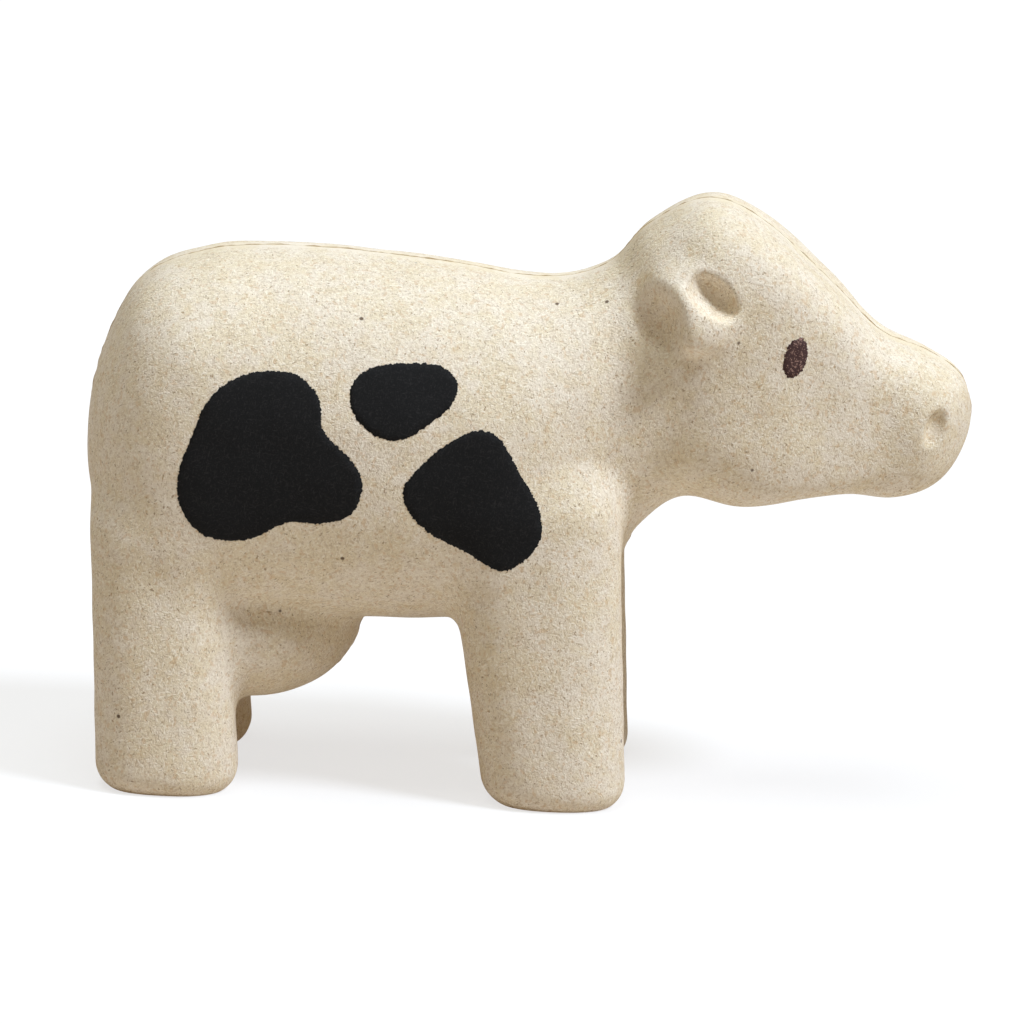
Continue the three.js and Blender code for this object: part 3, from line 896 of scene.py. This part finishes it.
def film_sides(loop, flat):
    """Inner and outer points of a film on the left side."""
    x, z = flat[:, 0], flat[:, 1]
    inner = np.stack([x, side_surface(x, z), z], axis=1)
    outward = slope_at(*inner.T)
    outward /= np.linalg.norm(outward, axis=1)[:, None]
    fade = FILM_RIM_SHARE + (1 - FILM_RIM_SHARE) * smooth_step(depth_in_loop(loop, x, z), 0, FILM_FADE)
    inner = inner + outward * FILM_LIFT
    return inner, inner + outward * (FILM_THICKNESS * fade)[:, None]


def film_faces(triangles, count):
    """Faces of the outer and the inner side, and of the rim between them."""
    faces = []
    for a, b, c in triangles:
        faces.append((a + count, c + count, b + count))
        faces.append((a, b, c))
    sides = {(a, b) for tri in triangles for a, b in zip(tri, (*tri[1:], tri[0]))}
    for a, b in sides:
        if (b, a) not in sides:
            faces.append((b, a, a + count, b + count))
    return faces


def make_film(name, loop):
    """Closed thin film on the left side, inside an outline of the side view."""
    flat, triangles = film_spots(loop)
    mesh = bpy.data.meshes.new(name)
    points = np.concatenate(film_sides(loop, flat))
    mesh.from_pydata(points * MM, [], film_faces(triangles, len(flat)))
    mesh.shade_smooth()
    bm = bmesh.new()
    bm.from_mesh(mesh)
    bmesh.ops.recalc_face_normals(bm, faces=bm.faces)
    bm.to_mesh(mesh)
    bm.free()
    return link(name, mesh)


films = {}
for name, loop in mark_loops.items():
    left_film = make_film(name + "_print_left", loop)
    films[name] = (left_film, mirror(left_film.data, name + "_print_right"))
print("Films of", {name: len(pair[0].data.polygons) for name, pair in films.items()}, "faces")

# %% [markdown]
# ## Materials from nodes
# All finishes of the toy are matte or nearly so, and differ in how rough they are and how much they
# shine. Image textures could show them, but need a map of the surface. Noise that reads Object
# coordinates needs none and stays in place on the toy. These helpers add the nodes that the
# finishes share.

# %% Helpers for materials
FINISHES = {
    # roughness, shine
    "Wood fibre": (0.85, 0.1),
    "Black paint": (0.8, 0.04),
    "Brown paint": (0.8, 0.04),
    "Glue": (0.55, 0.2),
    "Dowel wood": (0.65, 0.2),
}


def new_material(name):
    """A material whose principled shader is ready to be fed."""
    material = bpy.data.materials.get(name) or bpy.data.materials.new(name)
    material.use_nodes = True
    shader = material.node_tree.nodes["Principled BSDF"]
    roughness, shine = FINISHES[name]
    shader.inputs["Roughness"].default_value = roughness
    shader.inputs["Specular IOR Level"].default_value = shine
    return material, material.node_tree, shader


def spot_in_mm(tree):
    """Object coordinates counted in millimetres."""
    place = tree.nodes.new("ShaderNodeTexCoord").outputs["Object"]
    scaled = add_node(tree, "ShaderNodeVectorMath", {0: place, "Scale": 1 / MM}, operation="SCALE")
    return scaled.outputs["Vector"]


def noise_node(tree, where, per_mm, detail):
    """Noise from 0 to 1 with so many waves to the millimetre."""
    inputs = {"Vector": where, "Scale": per_mm, "Detail": detail}
    return add_node(tree, "ShaderNodeTexNoise", inputs).outputs["Fac"]


def ramp(tree, value, low, high):
    """0 below low, 1 above high and a soft passage between."""
    inputs = {"Value": value, "From Min": low, "From Max": high}
    return add_node(tree, "ShaderNodeMapRange", inputs, interpolation_type="SMOOTHSTEP").outputs["Result"]


def mix_colour(tree, share, first, second):
    """A mix of two colours, each a link or three plain numbers."""
    inputs = {"Factor": share}
    for name, colour in (("A", first), ("B", second)):
        inputs[name] = colour if isinstance(colour, bpy.types.NodeSocket) else (*colour, 1.0)
    return add_node(tree, "ShaderNodeMix", inputs, data_type="RGBA").outputs["Result"]


def bump(tree, height, shader, strength, depth):
    """Gives a shader the relief of a height, so many millimetres deep."""
    inputs = {"Strength": strength, "Distance": depth * MM, "Height": height}
    feed(tree, add_node(tree, "ShaderNodeBump", inputs).outputs["Normal"], shader.inputs["Normal"])


print("Finishes:", list(FINISHES))

# %% [markdown]
# ## Flecks and specks
# Fibres are short dashes that lie in every direction. A noise that is stretched along one direction
# makes dashes of that direction, so several of them, each turned and shifted its own way, are laid
# over each other. Specks of bark are rare and round. A Voronoi pattern gives one spot to each cell,
# and only a share of the cells keeps it.

# %% Flecks and specks
FLECK_TURNS = [
    (0.3, 0.2, 0.1), (1.3, 0.5, 2.1), (2.2, 1.1, 0.7),
    (0.7, 2.4, 1.6), (1.9, 0.4, 2.9), (2.7, 1.8, 0.4),
]
FLECK_DRIFT = (1.0, 0.7, -1.0)
FLECK_SHIFT = 11.0
FLECK_NOISE = (1.0, 1.0)
SPECK_CORE = 0.5


def turned(tree, where, turn, shift, stretch):
    """The place, moved and turned, with a unit that is longer along one direction."""
    inputs = {
        "Vector": where,
        "Location": tuple(shift * drift for drift in FLECK_DRIFT),
        "Rotation": turn,
        "Scale": stretch,
    }
    return add_node(tree, "ShaderNodeMapping", inputs, vector_type="TEXTURE").outputs["Vector"]


def flecks(tree, where, length, width, low, high, shift):
    """Short dashes in several directions, 1 on a dash."""
    most = 0.0
    for number, turn in enumerate(FLECK_TURNS):
        place = turned(tree, where, turn, shift + FLECK_SHIFT * number, (length, width, width))
        dash = ramp(tree, noise_node(tree, place, *FLECK_NOISE), low, high)
        most = math_node(tree, "MAXIMUM", most, dash)
    return most


def specks(tree, where, cell, size, share):
    """Rare round specks, 1 on a speck, in a share of the cells."""
    spots = add_node(tree, "ShaderNodeTexVoronoi", {"Vector": where, "Scale": 1 / cell}).outputs
    chosen = math_node(tree, "LESS_THAN", spots["Color"], share)
    near = ramp(tree, spots["Distance"], size / cell, SPECK_CORE * size / cell)
    return math_node(tree, "MULTIPLY", chosen, near)


print("Flecks lie in", len(FLECK_TURNS), "directions")

# %% [markdown]
# ## Wood fibre
# Seen close, the moulded fibre is a cream ground with honey clouds, full of tan, pale and brown
# flecks, with a few rusty chips and a rare dark speck of bark. A picture of such a board could be
# wrapped around the body, but would show where it is stretched. Here each kind is a layer of noise
# that fills the space of the toy.

# %% Layers of the fibre
DASHES = {
    # length and width in mm, noise at which a dash starts and is full, shift
    "tan": (0.9, 0.32, 0.60, 0.74, 3.0),
    "glint": (0.9, 0.24, 0.62, 0.74, 57.0),
    "brown": (0.75, 0.32, 0.72, 0.78, 91.0),
    "chip": (1.2, 0.7, 0.68, 0.75, 133.0),
}
BLOTCHES = {
    # waves to the mm, detail, noise at which a blotch starts and is full
    "honey": (0.5, 3.0, 0.48, 0.72),
    "grain": (5.0, 2.0, 0.3, 0.7),
    "rust": (0.8, 2.0, 0.68, 0.76),
}
BARK_CELL = 4.5
BARK_SIZE = 0.3
BARK_SHARE = 0.45


def fibre_layers(tree, where):
    """Where each kind of fleck or blotch shows, 1 where it is full."""
    layers = {name: flecks(tree, where, *dash) for name, dash in DASHES.items()}
    for name, (per_mm, detail, low, high) in BLOTCHES.items():
        layers[name] = ramp(tree, noise_node(tree, where, per_mm, detail), low, high)
    layers["bark"] = specks(tree, where, BARK_CELL, BARK_SIZE, BARK_SHARE)
    return layers


print("Layers of the fibre:", [*DASHES, *BLOTCHES, "bark"])

# %% [markdown]
# ## Tints of the fibre
# Every layer lays its tint over the ground and the layers before it. Beside the seam the surface
# was sanded smoother, so the layers fade there. A fine bump, in which pale flecks stand up and tan
# ones lie low, gives the dry, felted touch.

# %% Wood fibre
CREAM = (0.80, 0.70, 0.515)
PALE = (0.84, 0.755, 0.62)
TAN = (0.50, 0.375, 0.235)
BROWN_FLECK = (0.36, 0.25, 0.14)
GLINT = (0.95, 0.88, 0.74)
HONEY = (0.70, 0.55, 0.32)
RUST = (0.62, 0.42, 0.22)
BARK = (0.10, 0.06, 0.035)
CLOUDS = [0.14, 0.6]
CLOUD_DETAIL = 2.0
CLOUD_RANGE = (0.8, 1.2)
FIBRE_TINTS = [
    # layer, strength, tint
    ("honey", 0.30, HONEY), ("grain", 0.14, TAN), ("tan", 0.46, TAN), ("glint", 0.70, GLINT),
    ("brown", 0.80, BROWN_FLECK), ("rust", 0.40, RUST), ("chip", 0.42, RUST), ("bark", 0.9, BARK),
]
SANDED_STRIP = (0.8, 2.6)
SANDED_SHARE = 0.2
# a felt has waves to the mm and detail, and a relief has strength and depth in mm
FELT = (3.6, 3.0)
FLECK_RIDGE = 0.3
FIBRE_RELIEF = (0.8, 0.1)


def away_from_seam(tree, where):
    """1 on the sides, and less on the sanded strip along the seam."""
    across = add_node(tree, "ShaderNodeSeparateXYZ", {"Vector": where}).outputs["Y"]
    far = ramp(tree, math_node(tree, "ABSOLUTE", across), *SANDED_STRIP)
    return math_node(tree, "MULTIPLY_ADD", far, 1 - SANDED_SHARE, SANDED_SHARE)


def make_fibre():
    """The moulded fibre of the body."""
    material, tree, shader = new_material("Wood fibre")
    where = spot_in_mm(tree)
    cloud = math_node(tree, "ADD", *(noise_node(tree, where, per_mm, CLOUD_DETAIL) for per_mm in CLOUDS))
    colour = mix_colour(tree, ramp(tree, cloud, *CLOUD_RANGE), CREAM, PALE)
    shown = away_from_seam(tree, where)
    layers = fibre_layers(tree, where)
    for name, strength, tint in FIBRE_TINTS:
        share = math_node(tree, "MULTIPLY", math_node(tree, "MULTIPLY", layers[name], strength), shown)
        colour = mix_colour(tree, share, colour, tint)
    feed(tree, colour, shader.inputs["Base Color"])
    ridges = math_node(tree, "SUBTRACT", layers["glint"], layers["tan"])
    height = math_node(tree, "MULTIPLY_ADD", ridges, FLECK_RIDGE, noise_node(tree, where, *FELT))
    bump(tree, math_node(tree, "MULTIPLY", height, shown), shader, *FIBRE_RELIEF)
    return material


wood_fibre = make_fibre()
print("Wood fibre has", len(wood_fibre.node_tree.nodes), "nodes")

# %% [markdown]
# ## Black and brown paint
# The paint is thin and matte and follows the fibres below, so a few of them show as greyer streaks
# in the black. The eye is brown and mottled, and much of it is darker. Both use the flecks of the
# fibre, only narrower, and the streaks lie a little lower than the paint around them.

# %% Paint
BLACK = (0.0132, 0.0134, 0.0136)
WORN_BLACK = (0.026, 0.025, 0.025)
BLACK_WEAR = (0.60, 0.78)
BROWN = (0.375, 0.232, 0.186)
DARK_BROWN = (0.070, 0.040, 0.038)
BROWN_WEAR = (0.50, 0.60)
STREAK_LENGTH = 0.9
STREAK_WIDTH = 0.16
STREAK_SHIFT = 3.0
STREAK_SUNK = -0.4
PAINT_FELT = (3.2, 4.0)
PAINT_RELIEF = (0.35, 0.1)


def make_paint(name, main, streak, wear):
    """Matte paint with streaks where the fibres below show."""
    material, tree, shader = new_material(name)
    where = spot_in_mm(tree)
    fibres = flecks(tree, where, STREAK_LENGTH, STREAK_WIDTH, *wear, STREAK_SHIFT)
    feed(tree, mix_colour(tree, fibres, main, streak), shader.inputs["Base Color"])
    felt = noise_node(tree, where, *PAINT_FELT)
    height = math_node(tree, "ADD", felt, math_node(tree, "MULTIPLY", fibres, STREAK_SUNK))
    bump(tree, height, shader, *PAINT_RELIEF)
    return material


black_paint = make_paint("Black paint", BLACK, WORN_BLACK, BLACK_WEAR)
brown_paint = make_paint("Brown paint", BROWN, DARK_BROWN, BROWN_WEAR)
print("Paints:", black_paint.name, "and", brown_paint.name)

# %% [markdown]
# ## Glue and dowel wood
# The glue is pale where sanding dust filled it and amber elsewhere, which breaks the line along
# the seam. The dowels are plain turned beech. Its grain runs along the pin, so the place that its
# noise reads is stretched that way.

# %% Glue and dowel wood
AMBER = (0.56, 0.43, 0.27)
DUST = (0.80, 0.70, 0.54)
DUST_NOISE = (0.6, 3.0)
DUST_RANGE = (0.42, 0.6)
BEECH = (0.62, 0.43, 0.25)
DARK_BEECH = (0.45, 0.28, 0.15)
BEECH_STRETCH = (0.4, 6.0, 0.4)
BEECH_NOISE = (1.0, 4.0)
BEECH_RANGE = (0.4, 0.65)
BEECH_RELIEF = (0.2, 0.05)


def make_glue_finish():
    """Amber glue with pale dust in it."""
    material, tree, shader = new_material("Glue")
    dusty = ramp(tree, noise_node(tree, spot_in_mm(tree), *DUST_NOISE), *DUST_RANGE)
    feed(tree, mix_colour(tree, dusty, AMBER, DUST), shader.inputs["Base Color"])
    return material


def fill_dowel_wood():
    """Gives the dowels' material its beech grain."""
    _, tree, shader = new_material("Dowel wood")
    where = turned(tree, spot_in_mm(tree), (0, 0, 0), 0.0, BEECH_STRETCH)
    grain = noise_node(tree, where, *BEECH_NOISE)
    colour = mix_colour(tree, ramp(tree, grain, *BEECH_RANGE), BEECH, DARK_BEECH)
    feed(tree, colour, shader.inputs["Base Color"])
    bump(tree, grain, shader, *BEECH_RELIEF)


glue = make_glue_finish()
fill_dowel_wood()
print("Glue has", len(glue.node_tree.nodes), "nodes and dowel wood", len(dowel_wood.node_tree.nodes))

# %% [markdown]
# ## Join the pieces to the frame
# Every finished piece rides on the one rigid body of the toy and stands for the CAD node of the
# same part, which is then hidden.

# %% Ride, replace and paint


def join(piece, node, material, slot):
    """Gives a piece its material and puts it in the place of a node."""
    if piece.data.materials:
        piece.data.materials[0] = material
    else:
        piece.data.materials.append(material)
    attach(piece, "root")
    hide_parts(node)


join(left_half, "body_half_left", wood_fibre, "wood_fibre")
join(right_half, "body_half_right", wood_fibre, "wood_fibre")
join(glue_line, "centre_glue_line", glue, "glue")
for name, piece in dowels.items():
    join(piece, name, dowel_wood, "dowel_wood")
for name, pair in films.items():
    paint = (brown_paint, "brown_paint") if name == "eye" else (black_paint, "black_paint")
    for piece, side in zip(pair, ("left", "right")):
        join(piece, f"{name}_{side}", *paint)

# %% [markdown]
# ## White floor
# The photograph is a catalogue picture on white. A white sheet under the toy would throw too much
# light on its belly. So the floor is white to the camera and in reflections, where it keeps the
# toy's soft shadow, and to all other light it is a darker, warmer sheet. The Light Path node tells
# the two apart.

# %% Floor
FLOOR_SIZE = 6.0
FLOOR_SEEN = (0.97, 0.97, 0.97)
FLOOR_BOUNCE = (0.72, 0.67, 0.61)
FLOOR_GLOW = (0.56, 0.42, 0.29)
FLOOR_GLOW_SHARE = 0.225
FLOOR_WHITE_SHARE = 0.7
WHITE = (1, 1, 1)


def seen_rays(tree):
    """1 for a ray from the camera, off a shine or through glass, which meets the white background."""
    path = tree.nodes.new("ShaderNodeLightPath").outputs
    shine = math_node(tree, "MAXIMUM", path["Is Glossy Ray"], path["Is Transmission Ray"])
    return math_node(tree, "MAXIMUM", path["Is Camera Ray"], shine)


def make_floor_finish():
    """A matte sheet with a glow, both whiter to the camera."""
    material = bpy.data.materials.new("floor")
    material.use_nodes = True
    tree = material.node_tree
    tree.nodes.remove(tree.nodes["Principled BSDF"])
    seen = seen_rays(tree)
    more = FLOOR_WHITE_SHARE - FLOOR_GLOW_SHARE
    share = math_node(tree, "MULTIPLY_ADD", seen, more, FLOOR_GLOW_SHARE)
    sheet = mix_colour(tree, seen, FLOOR_BOUNCE, FLOOR_SEEN)
    matte = add_node(tree, "ShaderNodeBsdfDiffuse", {"Color": sheet})
    light = mix_colour(tree, seen, FLOOR_GLOW, WHITE)
    glow = add_node(tree, "ShaderNodeEmission", {"Color": light})
    shaders = {"Fac": share, 1: matte.outputs["BSDF"], 2: glow.outputs["Emission"]}
    both = add_node(tree, "ShaderNodeMixShader", shaders)
    feed(tree, both.outputs["Shader"], tree.nodes["Material Output"].inputs["Surface"])
    return material


def make_floor():
    """A square floor under the toy."""
    mesh = bpy.data.meshes.new("floor")
    half = FLOOR_SIZE / 2
    corners = [(-half, -half, 0), (half, -half, 0), (half, half, 0), (-half, half, 0)]
    mesh.from_pydata(corners, [], [(0, 1, 2, 3)])
    mesh.materials.append(make_floor_finish())
    return link("floor", mesh)


floor = make_floor()
print("Floor of", FLOOR_SIZE, "m that glows with", FLOOR_GLOW, "to the toy")

# %% [markdown]
# ## Dim warm sky
# The walls and ceiling of a studio throw a little light back from every side. A sky that is dim and
# warm does the same, a bit brighter overhead. Like the floor, it is white where the camera sees it.

# %% Sky
SKY_SIDE = (0.12, 0.073, 0.029)
SKY_TOP = (0.12, 0.088, 0.05)
SKY_RISE = (0.3, 1.0)


def make_sky():
    """A dim sky that is white to the camera."""
    world = bpy.data.worlds.new("sky")
    world.use_nodes = True
    tree = world.node_tree
    direction = tree.nodes.new("ShaderNodeTexCoord").outputs["Generated"]
    height = add_node(tree, "ShaderNodeSeparateXYZ", {"Vector": direction}).outputs["Z"]
    light = mix_colour(tree, ramp(tree, height, *SKY_RISE), SKY_SIDE, SKY_TOP)
    colour = mix_colour(tree, seen_rays(tree), light, WHITE)
    feed(tree, colour, tree.nodes["Background"].inputs["Color"])
    bpy.context.scene.world = world


make_sky()
print("Sky from", SKY_SIDE, "at the sides to", SKY_TOP, "overhead")

# %% [markdown]
# ## Two soft lamps
# The shading of the photograph suggests a soft lamp above the nose side and a broader one overhead.
# Sun lamps with a wide angle stand for both, because their light is even over the toy and needs no
# distance. The key lamp is a little cool, to balance the warm sky and floor.

# %% Lamps
LAMPS = {
    # direction it shines from, strength, colour, spread in degrees
    "key": ((0.58, -0.28, 0.765), 2.7, (0.88, 0.965, 1.105), 14),
    "top": ((-0.10, -0.04, 1.0), 1.66, (0.90, 0.98, 1.02), 40),
}


def make_lamp(name, shines_from, strength, colour, spread):
    """A sun lamp with soft shadows."""
    lamp = bpy.data.lights.new(name, "SUN")
    lamp.energy = strength
    lamp.color = colour
    lamp.angle = math.radians(spread)
    holder = bpy.data.objects.new(name, lamp)
    holder.rotation_euler = Vector(shines_from).to_track_quat("Z", "Y").to_euler()
    bpy.context.scene.collection.objects.link(holder)


for name, settings in LAMPS.items():
    make_lamp(name, *settings)
print("Lamps:", list(LAMPS))

# %% [markdown]
# ## Camera
# The photograph looks at the right side from a little above, with hardly any perspective and a
# slight tilt. A long lens far away gives that. The lens follows from the distance and from how many
# millimetres of the toy the picture is wide.

# %% Camera
CAMERA_ELEVATION = math.radians(13)
CAMERA_AZIMUTH = math.radians(1.5)
CAMERA_ROLL = math.radians(2)
CAMERA_DISTANCE = 730.0
CAMERA_TARGET = Vector((-1.5, 0.0, 30.7))
PICTURE_PIXELS = 1024
PIXELS_PER_MM = 8.8
PICTURE_WIDTH = PICTURE_PIXELS / PIXELS_PER_MM
SENSOR = 36.0


def make_camera():
    """The camera of the photograph."""
    data = bpy.data.cameras.new("camera")
    data.sensor_width = SENSOR
    data.lens = SENSOR * CAMERA_DISTANCE / PICTURE_WIDTH
    camera = bpy.data.objects.new("camera", data)
    raised = Matrix.Rotation(math.pi / 2 - CAMERA_ELEVATION, 4, "X")
    upright = Matrix.Rotation(CAMERA_AZIMUTH, 4, "Z") @ raised
    tilted = upright @ Matrix.Rotation(CAMERA_ROLL, 4, "Z")
    away = tilted @ Vector((0, 0, CAMERA_DISTANCE))
    camera.matrix_world = Matrix.Translation((CAMERA_TARGET + away) * MM) @ tilted
    bpy.context.scene.collection.objects.link(camera)
    bpy.context.scene.camera = camera


make_camera()
bpy.context.scene.view_settings.view_transform = "Standard"
print("Camera lens in mm:", round(bpy.context.scene.camera.data.lens, 1))
